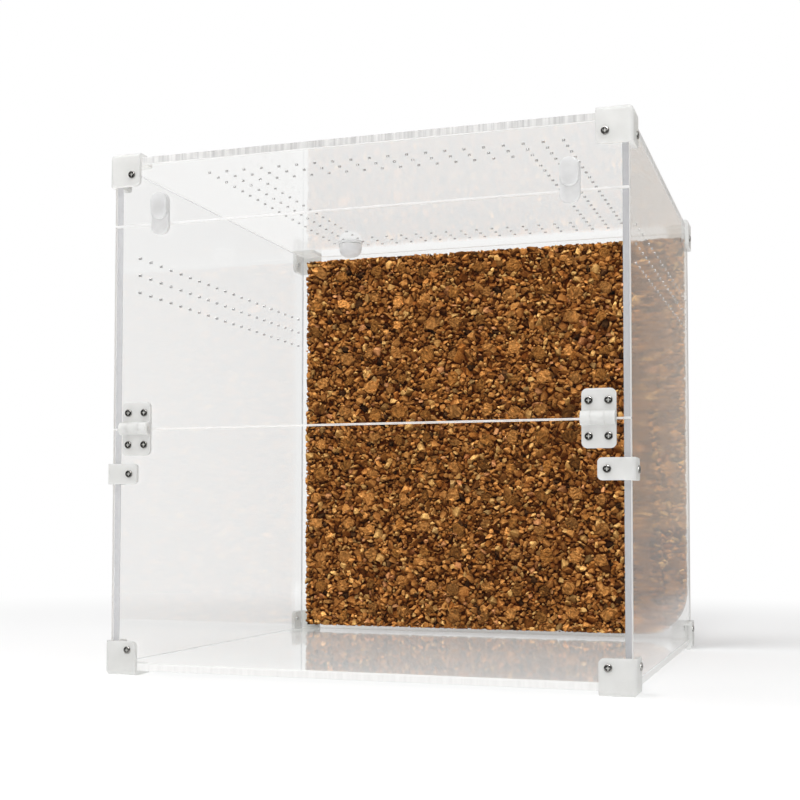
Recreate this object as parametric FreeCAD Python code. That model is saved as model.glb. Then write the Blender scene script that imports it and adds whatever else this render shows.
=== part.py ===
import FreeCAD, Part

import math
import os
import random

# Ant habitat: a cube of clear acrylic panels, held at its corners by plastic brackets, with a slab
# of cork on the back wall. The front is a fixed lower panel, a feeding door that drops down on two
# hinges, and a fixed strip with two turn buttons that hold the door.
# Millimetres, +Z up, front towards -Y. The origin is on the ground, below the middle of the case.

# Case, measured over the panels
CASE_W = 300.0
CASE_D = 300.0
CASE_H = 300.0
PANEL_T = 4.0
EDGE_BREAK = 0.15

# Front: the seam's height above the underside of the floor panel, the fixed strip's own height,
# and the gaps below and above the door
SEAM_H = 140.0
STRIP_TALL = 40.0
SEAM_GAP = 0.4
STRIP_GAP = 0.8

# Screws, all alike but for their length
SCREW_R = 1.25
SCREW_CLEARANCE = 0.05
HEAD_R = 2.2
HEAD_H = 1.0
HEAD_ROUND = 0.7
RECESS_W = 0.7
RECESS_L = 2.4
RECESS_DEPTH = 0.7
TIP_SHORT = 0.1

# Corner brackets
BRACKET_LEG = 17.0
BRACKET_WALL = 2.5
BRACKET_SCREW = 12.0
BRACKET_SCREW_TOP = 10.4
BRACKET_EDGE_R = 2.4
BRACKET_CORNER_R = 3.0

# Side clips, which tie the lower front panel to the sides
CLIP_WALL = 2.5
CLIP_FRONT_LEG = 17.0
CLIP_SIDE_LEG = 14.0
CLIP_H = 11.8
CLIP_DOWN = 26.2
CLIP_FRONT_SCREW = 12.0
CLIP_SIDE_SCREW = 9.0
CLIP_EDGE_R = 2.0
CLIP_CORNER_R = 2.5

# Hinges
HINGE_FROM_SIDE = 16.2
HINGE_W = 17.8
HINGE_LEAF_H = 15.5
HINGE_LEAF_T = 2.0
HINGE_CORNER_R = 3.0
HINGE_AXIS_OUT = 4.0
HINGE_SCREW_X = 5.1
HINGE_SCREW_Z = 9.3
KNUCKLE_R = 3.8
KNUCKLE_MID_W = 7.0
KNUCKLE_GAP = 0.15
PIN_R = 1.25
PIN_CLEARANCE = 0.05

# Turn buttons
LATCH_FROM_SIDE = 30.5
LATCH_PIVOT_UP = 9.5
LATCH_OVERLAP = 7.0
LATCH_W = 10.8
LATCH_T = 2.4
LATCH_CORNER_R = 5.2
LATCH_TIP_R = 4.5
LATCH_GAP = 0.3
KNOB_HALF_H = 8.0
KNOB_T = 2.6
KNOB_INSET = 0.3
KNOB_ROUND = 1.0
PIVOT_GRIP = 3.6
PIVOT_CLEARANCE = 0.1

# Ventilation holes
VENT_R = 0.9
TOP_VENT_MARGIN_X = 42.0
TOP_VENT_MARGIN_Y = 31.0
TOP_VENT_PITCH_X = 11.28
TOP_VENT_PITCH_Y = 12.19
TOP_VENT_SHIFT_X = 2.7
TOP_VENT_RINGS = 3
SIDE_VENT_MARGIN = 19.0
SIDE_VENT_PITCH = 13.67
SIDE_VENT_SHIFT_Y = 6.7
SIDE_VENT_ROWS = 3
SIDE_VENT_ROW_PITCH = 10.4
SIDE_VENT_DOWN = 54.5
VENT_SPACE = 1.5

# Port plug in the top panel
PLUG_FROM_LEFT = 56.0
PLUG_FROM_BACK = 40.0
PLUG_R = 8.4
PLUG_CLEARANCE = 0.1
PLUG_DROP = 9.5
PLUG_END_R = 6.0
PLUG_FLANGE_R = 9.3
PLUG_FLANGE_T = 2.2
PLUG_FLANGE_ROUND = 1.6

# Cork slab on the back wall, whose thickness is measured over its granules
CORK_T = 10.0
CORK_LEFT_GAP = 5.3
CORK_RIGHT_GAP = 1.0
CORK_FLOOR_GAP = 2.8
CORK_TOP_GAP = 4.6
CORK_CORNER_R = 30.0

# The slab's main granules, which stand out of its face; a granule's sides would meet at its peak,
# given in radii
GRANULE_SEED = 7
GRANULE_RELIEF = 2.2
GRANULE_ROOT = 0.5
GRANULE_PITCH = 22.0
GRANULE_MARGIN = 11.0
GRANULE_JITTER = 3.5
GRANULE_R_LOW = 4.8
GRANULE_R_HIGH = 7.0
GRANULE_PEAK = 1.5

# Planes that the pieces share
LEFT = -CASE_W / 2
RIGHT = CASE_W / 2
FRONT = -CASE_D / 2
BACK = CASE_D / 2
BOTTOM = BRACKET_WALL
TOP = BOTTOM + CASE_H
SEAM_Z = BOTTOM + SEAM_H
STRIP_Z = TOP - STRIP_TALL
INNER_BOTTOM = BOTTOM + PANEL_T
INNER_TOP = TOP - PANEL_T
INNER_FRONT = FRONT + PANEL_T
INNER_BACK = BACK - PANEL_T
HALF_SEAM = SEAM_GAP / 2
HALF_STRIP = STRIP_GAP / 2
CUT_PAST = 1.0
SAME = 1e-4

AXIS_X = FreeCAD.Vector(1, 0, 0)
AXIS_Y = FreeCAD.Vector(0, 1, 0)
AXIS_Z = FreeCAD.Vector(0, 0, 1)
SIDES = {"left": -1, "right": 1}
DEPTHS = {"front": -1, "back": 1}
LEVELS = {"bottom": -1, "top": 1}


def block(x0, x1, y0, y1, z0, z1):
    """A box between six planes, given in either order."""
    low = FreeCAD.Vector(min(x0, x1), min(y0, y1), min(z0, z1))
    return Part.makeBox(abs(x1 - x0), abs(y1 - y0), abs(z1 - z0), low)


def rod(radius, start, direction, length):
    """A cylinder from start along direction."""
    return Part.makeCylinder(radius, length, start, direction)


def parallel_edges(shape, axis, at):
    """The straight edges along axis whose midpoint passes the test at(point)."""
    found = []
    for edge in shape.Edges:
        start = edge.Vertexes[0].Point
        end = edge.Vertexes[-1].Point
        span = end - start
        if near(span.Length, 0) or not near(abs(span.normalize() * axis), 1):
            continue
        if at((start + end) / 2):
            found.append(edge)
    return found


def near(value, target):
    """Whether two coordinates are the same."""
    return abs(value - target) < SAME


def drilled(shape, holes):
    """The shape with all the holes cut in one step."""
    return shape.cut(Part.makeCompound(holes)) if holes else shape


def only_solid(shape):
    """The single solid of a boolean result."""
    return shape.Solids[0]


# ---------------------------------------------------------------- screws

def screw(length):
    """A pan head screw along +Z: the head's seat is at Z 0 and the shank runs down."""
    head = rod(HEAD_R, FreeCAD.Vector(0, 0, 0), AXIS_Z, HEAD_H)
    rim = [edge for edge in head.Edges if near(edge.BoundBox.ZMin, HEAD_H)]
    head = head.makeFillet(HEAD_ROUND, rim)
    shank = rod(SCREW_R, FreeCAD.Vector(0, 0, -length), AXIS_Z, length)
    half_l = RECESS_L / 2
    half_w = RECESS_W / 2
    floor = HEAD_H - RECESS_DEPTH
    slot_x = block(-half_l, half_l, -half_w, half_w, floor, HEAD_H + CUT_PAST)
    slot_y = block(-half_w, half_w, -half_l, half_l, floor, HEAD_H + CUT_PAST)
    return only_solid(head.fuse(shank).cut(slot_x.fuse(slot_y)))


def placed_screw(length, face_point, outward, plate):
    """A screw whose head sits on a plate of this thickness, on a face with this outward normal."""
    shape = screw(length)
    turn = FreeCAD.Rotation(AXIS_Z, outward)
    shape.Placement = FreeCAD.Placement(face_point + outward * plate, turn)
    return shape


def screw_hole(face_point, outward, plate, clearance=SCREW_CLEARANCE):
    """The bore for one screw, through the plate and the panel behind it."""
    start = face_point + outward * (plate + CUT_PAST)
    return rod(SCREW_R + clearance, start, -outward, plate + PANEL_T + 2 * CUT_PAST)


def bracket_spots():
    """Where each bracket screw crosses the outer face of a panel, with the face's normal."""
    spots = []
    for sx in SIDES.values():
        for sy in DEPTHS.values():
            for sz in LEVELS.values():
                z = BOTTOM + BRACKET_SCREW if sz < 0 else TOP - BRACKET_SCREW_TOP
                across = sx * (CASE_W / 2 - BRACKET_SCREW)
                along = sy * (CASE_D / 2 - BRACKET_SCREW)
                spots.append((FreeCAD.Vector(across, sy * CASE_D / 2, z), AXIS_Y * sy))
                spots.append((FreeCAD.Vector(sx * CASE_W / 2, along, z), AXIS_X * sx))
    return spots


def clip_spots():
    """Where each side clip's screws cross the outer faces of the panels."""
    spots = []
    z = SEAM_Z - CLIP_DOWN
    for sx in SIDES.values():
        across = sx * (CASE_W / 2 - CLIP_FRONT_SCREW)
        spots.append((FreeCAD.Vector(across, FRONT, z), -AXIS_Y))
        spots.append((FreeCAD.Vector(sx * CASE_W / 2, FRONT + CLIP_SIDE_SCREW, z), AXIS_X * sx))
    return spots


def hinge_spots(up):
    """Where the screws of the door leaves (up 1) or the base leaves (up -1) cross the front."""
    spots = []
    for sx in SIDES.values():
        middle = hinge_middle(sx)
        for side in (-1, 1):
            point = FreeCAD.Vector(middle + side * HINGE_SCREW_X, FRONT, SEAM_Z + up * HINGE_SCREW_Z)
            spots.append((point, -AXIS_Y))
    return spots


def screw_group(spots, plate):
    """All the screws of one kind, as separate solids."""
    length = plate + PANEL_T - TIP_SHORT
    return Part.makeCompound([placed_screw(length, point, out, plate) for point, out in spots])


# ---------------------------------------------------------------- panels

def panel(x0, x1, y0, y1, z0, z1, holes):
    """A flat panel with broken edges and its holes."""
    plain = block(x0, x1, y0, y1, z0, z1)
    return only_solid(drilled(plain.makeChamfer(EDGE_BREAK, plain.Edges), holes))


def holes_on(face_normal, spots, plate):
    """The screw bores of those spots that lie on the panel with this outward normal."""
    return [screw_hole(point, out, plate) for point, out in spots if out * face_normal > 0.5]


def row(span, margin, pitch, shift=0):
    """Evenly spaced places that keep the margin at both ends, centred on zero and then shifted."""
    gaps = int((span - 2 * margin) / pitch)
    return [shift + (i - gaps / 2) * pitch for i in range(gaps + 1)]


def plug_centre():
    """The axis of the port in the top panel."""
    return FreeCAD.Vector(LEFT + PLUG_FROM_LEFT, BACK - PLUG_FROM_BACK, 0)


def top_vents():
    """A rectangular band of small holes, some rings deep, that leaves room for the port."""
    columns = row(CASE_W, TOP_VENT_MARGIN_X, TOP_VENT_PITCH_X, TOP_VENT_SHIFT_X)
    rows = row(CASE_D, TOP_VENT_MARGIN_Y, TOP_VENT_PITCH_Y)
    keep_off = PLUG_R + PLUG_CLEARANCE + VENT_R + VENT_SPACE
    holes = []
    for i, x in enumerate(columns):
        for j, y in enumerate(rows):
            ring = min(i, j, len(columns) - 1 - i, len(rows) - 1 - j)
            away = (FreeCAD.Vector(x, y, 0) - plug_centre()).Length
            if ring < TOP_VENT_RINGS and away > keep_off:
                start = FreeCAD.Vector(x, y, INNER_TOP - CUT_PAST)
                holes.append(rod(VENT_R, start, AXIS_Z, PANEL_T + 2 * CUT_PAST))
    return holes


def side_vents(x_low):
    """Rows of small holes along the top of a side panel whose low X face is given."""
    holes = []
    for level in range(SIDE_VENT_ROWS):
        z = TOP - SIDE_VENT_DOWN - level * SIDE_VENT_ROW_PITCH
        for y in row(CASE_D, SIDE_VENT_MARGIN, SIDE_VENT_PITCH, SIDE_VENT_SHIFT_Y):
            start = FreeCAD.Vector(x_low - CUT_PAST, y, z)
            holes.append(rod(VENT_R, start, AXIS_X, PANEL_T + 2 * CUT_PAST))
    return holes


def floor_panel():
    return panel(LEFT, RIGHT, FRONT, BACK, BOTTOM, INNER_BOTTOM, [])


def top_panel():
    start = plug_centre() + FreeCAD.Vector(0, 0, INNER_TOP - CUT_PAST)
    port = rod(PLUG_R + PLUG_CLEARANCE, start, AXIS_Z, PANEL_T + 2 * CUT_PAST)
    return panel(LEFT, RIGHT, FRONT, BACK, INNER_TOP, TOP, top_vents() + [port])


def side_panel(sx):
    inner = sx * (CASE_W / 2 - PANEL_T)
    outer = sx * CASE_W / 2
    out = AXIS_X * sx
    holes = holes_on(out, bracket_spots(), BRACKET_WALL) + holes_on(out, clip_spots(), CLIP_WALL)
    holes += side_vents(min(inner, outer))
    return panel(inner, outer, INNER_FRONT, INNER_BACK, INNER_BOTTOM, INNER_TOP, holes)


def back_panel():
    holes = holes_on(AXIS_Y, bracket_spots(), BRACKET_WALL)
    return panel(LEFT, RIGHT, INNER_BACK, BACK, INNER_BOTTOM, INNER_TOP, holes)


def front_holes():
    """The bores of every screw in the fixed front, wherever it is along the height."""
    holes = holes_on(-AXIS_Y, bracket_spots(), BRACKET_WALL)
    holes += holes_on(-AXIS_Y, clip_spots(), CLIP_WALL)
    return holes + holes_on(-AXIS_Y, hinge_spots(-1), HINGE_LEAF_T)


def front_lower_panel():
    return panel(LEFT, RIGHT, FRONT, INNER_FRONT, INNER_BOTTOM, SEAM_Z - HALF_SEAM, front_holes())


def front_top_strip():
    holes = front_holes()
    for sx in SIDES.values():
        holes.append(screw_hole(pivot_point(sx), -AXIS_Y, 0, PIVOT_CLEARANCE))
    return panel(LEFT, RIGHT, FRONT, INNER_FRONT, STRIP_Z + HALF_STRIP, INNER_TOP, holes)


def door_panel():
    holes = holes_on(-AXIS_Y, hinge_spots(1), HINGE_LEAF_T)
    return panel(LEFT, RIGHT, FRONT, INNER_FRONT, SEAM_Z + HALF_SEAM, STRIP_Z - HALF_STRIP, holes)


# ---------------------------------------------------------------- brackets and clips

def corner_shell(wall, legs, edge_r):
    """Plates that meet in an outer corner at minus wall on each axis, open along plus.

    legs gives how far the shell reaches along X, Y and Z. The three outer edges are rounded.
    """
    shell = block(-wall, legs.x, -wall, legs.y, -wall, legs.z)
    rounds = parallel_edges(shell, AXIS_X, lambda p: near(p.y, -wall) and near(p.z, -wall))
    rounds += parallel_edges(shell, AXIS_Y, lambda p: near(p.x, -wall) and near(p.z, -wall))
    rounds += parallel_edges(shell, AXIS_Z, lambda p: near(p.x, -wall) and near(p.y, -wall))
    shell = shell.makeFillet(edge_r, rounds)
    far = FreeCAD.Vector(legs.x + CUT_PAST, legs.y + CUT_PAST, legs.z + CUT_PAST)
    return only_solid(shell.cut(block(0, far.x, 0, far.y, 0, far.z)))


def bracket(sx, sy, sz):
    """One corner bracket: three square plates with a rounded free corner on each."""
    leg = BRACKET_LEG
    shell = corner_shell(BRACKET_WALL, FreeCAD.Vector(leg, leg, leg), BRACKET_EDGE_R)
    corners = parallel_edges(shell, AXIS_X, lambda p: near(p.y, leg) and near(p.z, leg))
    corners += parallel_edges(shell, AXIS_Y, lambda p: near(p.x, leg) and near(p.z, leg))
    corners += parallel_edges(shell, AXIS_Z, lambda p: near(p.x, leg) and near(p.y, leg))
    shell = shell.makeFillet(BRACKET_CORNER_R, corners)
    shell = at_corner(shell, sx, sy, sz)
    spots = [s for s in bracket_spots() if s[0].x * sx > 0 and s[0].y * sy > 0]
    spots = [s for s in spots if (s[0].z - (BOTTOM + TOP) / 2) * sz > 0]
    holes = [screw_hole(point, out, BRACKET_WALL) for point, out in spots]
    return only_solid(drilled(shell, holes))


def at_corner(shape, sx, sy, sz):
    """A shape made for the low corner, mirrored and moved to another corner of the case."""
    origin = FreeCAD.Vector(0, 0, 0)
    if sx > 0:
        shape = shape.mirror(origin, AXIS_X)
    if sy > 0:
        shape = shape.mirror(origin, AXIS_Y)
    if sz > 0:
        shape = shape.mirror(origin, AXIS_Z)
    z = BOTTOM if sz < 0 else TOP
    return shape.translated(FreeCAD.Vector(sx * CASE_W / 2, sy * CASE_D / 2, z))


def side_clip(sx):
    """An angle of two plates round a front edge of the case, below the seam."""
    wall = CLIP_WALL
    front_leg = CLIP_FRONT_LEG
    side_leg = CLIP_SIDE_LEG
    z = SEAM_Z - CLIP_DOWN
    low = z - CLIP_H / 2
    high = z + CLIP_H / 2
    angle = block(-wall, front_leg, -wall, side_leg, low, high)
    nose = parallel_edges(angle, AXIS_Z, lambda p: near(p.x, -wall) and near(p.y, -wall))
    angle = angle.makeFillet(CLIP_EDGE_R, nose)
    hollow = block(0, front_leg + CUT_PAST, 0, side_leg + CUT_PAST, low - CUT_PAST, high + CUT_PAST)
    angle = only_solid(angle.cut(hollow))
    corners = parallel_edges(angle, AXIS_Y, lambda p: near(p.x, front_leg))
    corners += parallel_edges(angle, AXIS_X, lambda p: near(p.y, side_leg))
    angle = angle.makeFillet(CLIP_CORNER_R, corners)
    if sx > 0:
        angle = angle.mirror(FreeCAD.Vector(0, 0, 0), AXIS_X)
    angle = angle.translated(FreeCAD.Vector(sx * CASE_W / 2, FRONT, 0))
    spots = [s for s in clip_spots() if s[0].x * sx > 0]
    return only_solid(drilled(angle, [screw_hole(point, out, wall) for point, out in spots]))


# ---------------------------------------------------------------- hinges

def hinge_middle(sx):
    """The X of the middle of a hinge."""
    return sx * (CASE_W / 2 - HINGE_FROM_SIDE)


def knuckle_spans():
    """The X spans of the door's middle knuckle and of the base's two outer ones."""
    half = HINGE_W / 2
    middle = KNUCKLE_MID_W / 2
    outer = middle + KNUCKLE_GAP
    return {1: [(-middle, middle)], -1: [(-half, -outer), (outer, half)]}


def hinge_rod(sx, radius, x0, x1):
    """A cylinder round the hinge axis between two places along the hinge."""
    start = FreeCAD.Vector(hinge_middle(sx) + x0, FRONT - HINGE_AXIS_OUT, SEAM_Z)
    return rod(radius, start, AXIS_X, x1 - x0)


def hinge_leaf(sx, up):
    """A leaf on the door (up 1) or on the lower panel (up -1), with its own knuckles."""
    middle = hinge_middle(sx)
    half = HINGE_W / 2
    end = SEAM_Z + up * HINGE_LEAF_H
    near_seam = SEAM_Z + up * HALF_SEAM
    leaf = block(middle - half, middle + half, FRONT - HINGE_LEAF_T, FRONT, near_seam, end)
    corners = parallel_edges(leaf, AXIS_Y, lambda p: near(p.z, end))
    leaf = leaf.makeFillet(HINGE_CORNER_R, corners)
    for x0, x1 in knuckle_spans()[up]:
        leaf = leaf.fuse(hinge_rod(sx, KNUCKLE_R, x0, x1))
    room = [hinge_rod(sx, PIN_R + PIN_CLEARANCE, -half - CUT_PAST, half + CUT_PAST)]
    for x0, x1 in knuckle_spans()[-up]:
        reach = KNUCKLE_R + KNUCKLE_GAP
        room.append(hinge_rod(sx, reach, x0 - KNUCKLE_GAP, x1 + KNUCKLE_GAP))
    spots = [s for s in hinge_spots(up) if s[0].x * sx > 0]
    room += [screw_hole(point, out, HINGE_LEAF_T) for point, out in spots]
    for cutter in room:
        leaf = leaf.cut(cutter)
    return only_solid(leaf.removeSplitter())


def hinge_pin(sx):
    """The pin that both leaves turn on."""
    half = HINGE_W / 2
    return hinge_rod(sx, PIN_R, -half, half)


# ---------------------------------------------------------------- turn buttons

def pivot_point(sx):
    """Where a turn button's pivot crosses the outer face of the strip."""
    return FreeCAD.Vector(sx * (CASE_W / 2 - LATCH_FROM_SIDE), FRONT, STRIP_Z + LATCH_PIVOT_UP)


def pill(x, half_w, z0, z1, y0, y1, low_r, high_r, lip):
    """An upright plate with rounded corners below and above, and its front rim softened by the lip."""
    plate = block(x - half_w, x + half_w, y0, y1, z0, z1)
    plate = plate.makeFillet(low_r, parallel_edges(plate, AXIS_Y, lambda p: near(p.z, z0)))
    plate = plate.makeFillet(high_r, parallel_edges(plate, AXIS_Y, lambda p: near(p.z, z1)))
    rim = [edge for edge in plate.Edges if near(edge.BoundBox.YMax, y0)]
    return plate.makeFillet(lip, rim)


def latch(sx):
    """A turn button: a tongue that laps over the door, with a raised grip round the pivot."""
    pivot = pivot_point(sx)
    back = FRONT - LATCH_GAP
    face = back - LATCH_T
    half_w = LATCH_W / 2
    low = pivot.z - LATCH_PIVOT_UP - LATCH_OVERLAP
    high = pivot.z + KNOB_HALF_H
    tongue = pill(pivot.x, half_w, low, high, face, back, LATCH_TIP_R, LATCH_CORNER_R, KNOB_INSET)
    grip_w = half_w - KNOB_INSET
    grip_h = KNOB_HALF_H - KNOB_INSET
    grip_r = LATCH_CORNER_R - KNOB_INSET
    outer = face - KNOB_T
    grip = pill(pivot.x, grip_w, pivot.z - grip_h, pivot.z + grip_h, outer, back, grip_r, grip_r, KNOB_ROUND)
    button = tongue.fuse(grip)
    bore = rod(SCREW_R + SCREW_CLEARANCE, pivot, -AXIS_Y, LATCH_GAP + PIVOT_GRIP)
    return only_solid(button.cut(bore).removeSplitter())


def latch_pivot(sx):
    """The screw that a turn button turns with: its head runs on the inner face of the strip."""
    inner = pivot_point(sx) + AXIS_Y * PANEL_T
    length = PANEL_T + 2 * LATCH_GAP + PIVOT_GRIP - TIP_SHORT
    return placed_screw(length, inner, AXIS_Y, LATCH_GAP)


# ---------------------------------------------------------------- plug and cork

def level_rim(shape, height):
    """The round edges that lie level at this height."""
    return [e for e in shape.Edges if near(e.BoundBox.ZLength, 0) and near(e.BoundBox.ZMin, height)]


def port_plug():
    """A soft domed bung that hangs in the port, with a thin flange on the top panel."""
    centre = plug_centre()
    tip = INNER_TOP - PLUG_DROP
    crown = TOP + PLUG_FLANGE_T
    body = rod(PLUG_R, centre + FreeCAD.Vector(0, 0, tip), AXIS_Z, crown - tip)
    flange = rod(PLUG_FLANGE_R, centre + FreeCAD.Vector(0, 0, TOP), AXIS_Z, PLUG_FLANGE_T)
    plug = body.fuse(flange).removeSplitter()
    plug = plug.makeFillet(PLUG_END_R, level_rim(plug, tip))
    return only_solid(plug.makeFillet(PLUG_FLANGE_ROUND, level_rim(plug, crown)))


def granule_places(low, high):
    """Evenly spaced places between two edges of the slab, which keep the margin at both ends."""
    span = high - low - 2 * GRANULE_MARGIN
    gaps = round(span / GRANULE_PITCH)
    return [low + GRANULE_MARGIN + span * i / gaps for i in range(gaps + 1)]


def granule_rings(chance, radius):
    """A granule's corners as (across, up, out): at its root, and round its flat, leaning top."""
    sides = int(chance.uniform(5, 8))
    narrow = chance.uniform(0.6, 0.95)
    turn = chance.uniform(0, 2 * math.pi)
    top = GRANULE_RELIEF * chance.uniform(0.55, 0.8)
    lean = chance.uniform(0, 2 * math.pi)
    slope = (GRANULE_RELIEF - top) / radius
    root_ring = []
    top_ring = []
    for i in range(sides):
        angle = 2 * math.pi * (i + chance.uniform(-0.25, 0.25)) / sides
        u = radius * math.cos(angle)
        v = radius * narrow * math.sin(angle)
        across = u * math.cos(turn) - v * math.sin(turn)
        up = u * math.sin(turn) + v * math.cos(turn)
        rise = slope * (across * math.cos(lean) + up * math.sin(lean))
        peak = GRANULE_PEAK * radius + GRANULE_ROOT
        share = (top + rise + GRANULE_ROOT) / (peak + rise)
        root_ring.append((across, up, -GRANULE_ROOT))
        top_ring.append((across * (1 - share), up * (1 - share), share * peak - GRANULE_ROOT))
    return root_ring, top_ring


def flat_face(points):
    """A flat face through its corners."""
    return Part.Face(Part.makePolygon(points + points[:1]))


def granule(rings, x, z, face_y):
    """One granule as a solid, at its place on the slab's face."""
    root, top = [[FreeCAD.Vector(x + a, face_y - out, z + b) for a, b, out in ring] for ring in rings]
    faces = [flat_face(root), flat_face(top)]
    for i in range(len(root)):
        faces.append(flat_face([root[i - 1], root[i], top[i], top[i - 1]]))
    return Part.Solid(Part.Shell(faces))


def cork_background():
    """The cork slab with its main granules, and one large rounded corner low on the right."""
    low = INNER_BOTTOM + CORK_FLOOR_GAP
    high = INNER_TOP - CORK_TOP_GAP
    left = LEFT + PANEL_T + CORK_LEFT_GAP
    right = RIGHT - PANEL_T - CORK_RIGHT_GAP
    face_y = INNER_BACK - CORK_T + GRANULE_RELIEF
    slab = block(left, right, face_y, INNER_BACK, low, high)
    corner = parallel_edges(slab, AXIS_Y, lambda p: near(p.x, right) and near(p.z, low))
    slab = slab.makeFillet(CORK_CORNER_R, corner)
    chance = random.Random(GRANULE_SEED)
    granules = []
    for x_middle in granule_places(left, right):
        for z_middle in granule_places(low, high):
            x = x_middle + chance.uniform(-GRANULE_JITTER, GRANULE_JITTER)
            z = z_middle + chance.uniform(-GRANULE_JITTER, GRANULE_JITTER)
            radius = chance.uniform(GRANULE_R_LOW, GRANULE_R_HIGH)
            rings = granule_rings(chance, radius)
            past_x = max(0, x - right + CORK_CORNER_R)
            past_z = max(0, low + CORK_CORNER_R - z)
            if not (past_x and past_z) or math.hypot(past_x, past_z) < CORK_CORNER_R - radius:
                granules.append(granule(rings, x, z, face_y))
    return only_solid(slab.fuse(granules))


def all_nodes():
    """Every piece of the habitat under its own name."""
    nodes = {
        "floor_panel": floor_panel(),
        "top_panel": top_panel(),
        "back_panel": back_panel(),
        "front_lower_panel": front_lower_panel(),
        "front_top_strip": front_top_strip(),
        "door_panel": door_panel(),
        "cork_background": cork_background(),
        "port_plug": port_plug(),
        "bracket_screws": screw_group(bracket_spots(), BRACKET_WALL),
        "clip_screws": screw_group(clip_spots(), CLIP_WALL),
        "hinge_base_screws": screw_group(hinge_spots(-1), HINGE_LEAF_T),
        "hinge_door_screws": screw_group(hinge_spots(1), HINGE_LEAF_T),
    }
    for side, sx in SIDES.items():
        nodes["side_panel_" + side] = side_panel(sx)
        nodes["side_clip_" + side] = side_clip(sx)
        nodes["hinge_base_leaf_" + side] = hinge_leaf(sx, -1)
        nodes["hinge_door_leaf_" + side] = hinge_leaf(sx, 1)
        nodes["hinge_pin_" + side] = hinge_pin(sx)
        nodes["latch_" + side] = latch(sx)
        nodes["latch_pivot_" + side] = latch_pivot(sx)
        for depth, sy in DEPTHS.items():
            for level, sz in LEVELS.items():
                nodes["bracket_" + "_".join((depth, side, level))] = bracket(sx, sy, sz)
    return nodes


os.makedirs("parts", exist_ok=True)
for name, shape in all_nodes().items():
    shape.exportStep("parts/" + name + ".step")
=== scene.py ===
import math
from collections import namedtuple

import bmesh
import bpy
import numpy as np
from mathutils import Matrix, Vector


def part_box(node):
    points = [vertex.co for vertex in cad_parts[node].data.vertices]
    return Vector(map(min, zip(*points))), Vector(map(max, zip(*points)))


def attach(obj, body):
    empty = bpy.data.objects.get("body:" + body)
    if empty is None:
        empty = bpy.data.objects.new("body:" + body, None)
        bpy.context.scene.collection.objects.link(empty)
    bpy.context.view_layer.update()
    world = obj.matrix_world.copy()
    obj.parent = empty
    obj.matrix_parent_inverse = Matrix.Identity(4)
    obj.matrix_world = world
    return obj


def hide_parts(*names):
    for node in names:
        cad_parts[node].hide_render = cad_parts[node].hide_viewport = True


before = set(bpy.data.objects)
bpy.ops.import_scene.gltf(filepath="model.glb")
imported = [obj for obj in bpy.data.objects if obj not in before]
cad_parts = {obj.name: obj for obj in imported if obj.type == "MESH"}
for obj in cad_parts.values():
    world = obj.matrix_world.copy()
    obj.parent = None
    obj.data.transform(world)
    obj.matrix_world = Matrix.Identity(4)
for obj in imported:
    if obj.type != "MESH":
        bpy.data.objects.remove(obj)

# An ant habitat of clear acrylic with a slab of cork granulate on its back wall.
# Metres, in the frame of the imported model: +Z up, front towards -Y.

MM = 0.001
WHITE = (1.0, 1.0, 1.0)

# Half the case's height
MID_HEIGHT = 150 * MM

# Camera, solved from the photograph
CAMERA_PLACE = (0.24690, -0.85674, 0.08757)
CAMERA_YAW = math.radians(-19.703)
CAMERA_PITCH = math.radians(2.597)
CAMERA_ROLL = math.radians(0.161)
CAMERA_LENS = 61.43
CAMERA_SHIFT = (0.06996, 0.0776)
CAMERA_SENSOR = 36.0
CAMERA_NEAREST = 0.01

# Lamps: name, place and power
LAMPS = (
    ("key", (0.4, -2.2, 1.6), 40.0),
    ("top", (-0.6, -0.4, 1.9), 13.0),
)
LAMP_AIM = (0.0, 0.0, MID_HEIGHT)
LAMP_SIZE = 0.9
SKY_LIGHT = 0.50

# How often light may bounce. The many glossy ones are for the cut edges of the side panels.
MAX_BOUNCES = 64
GLOSSY_BOUNCES = 48
CLEAR_BOUNCES = 32
DIFFUSE_BOUNCES = 4

# Floor, and the distances from the object between which it turns white
FLOOR_HALF = 30.0
FLOOR_COLOUR = (0.92, 0.92, 0.92)
FLOOR_WAVES = 40.0
FLOOR_ROUGHNESS = (0.7, 0.9)
FLOOR_FADE = (0.3, 0.9)

# What the clear sheet mirrors: a dim room in front, a pale wall behind, a greyer one at the right
ROOM_FRONT = 0.05
ROOM_BACK = 1.0
ROOM_RIGHT = 0.45
ROOM_TINT = (1.0, 0.90, 0.80)
ROOM_ABOVE = 0.9

# Directions, as a share of one, between which one part of that room gives way to the next
RIGHT_FROM = (0.0, 0.15)
BEHIND_FROM = (-0.2, 0.4)
ABOVE_FROM = (0.35, 0.75)
TINT_FROM = (0.0, 0.1)
TINT_TO = (0.2, 0.35)

# The floor as the clear sheet mirrors it: its tint at the right, and where it starts in front and there
FLOOR_TINT = (1.0, 0.95, 0.9)
FLOOR_FRONT = (-0.26, -0.16)
FLOOR_RIGHT = (0.16, 0.26)

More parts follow.
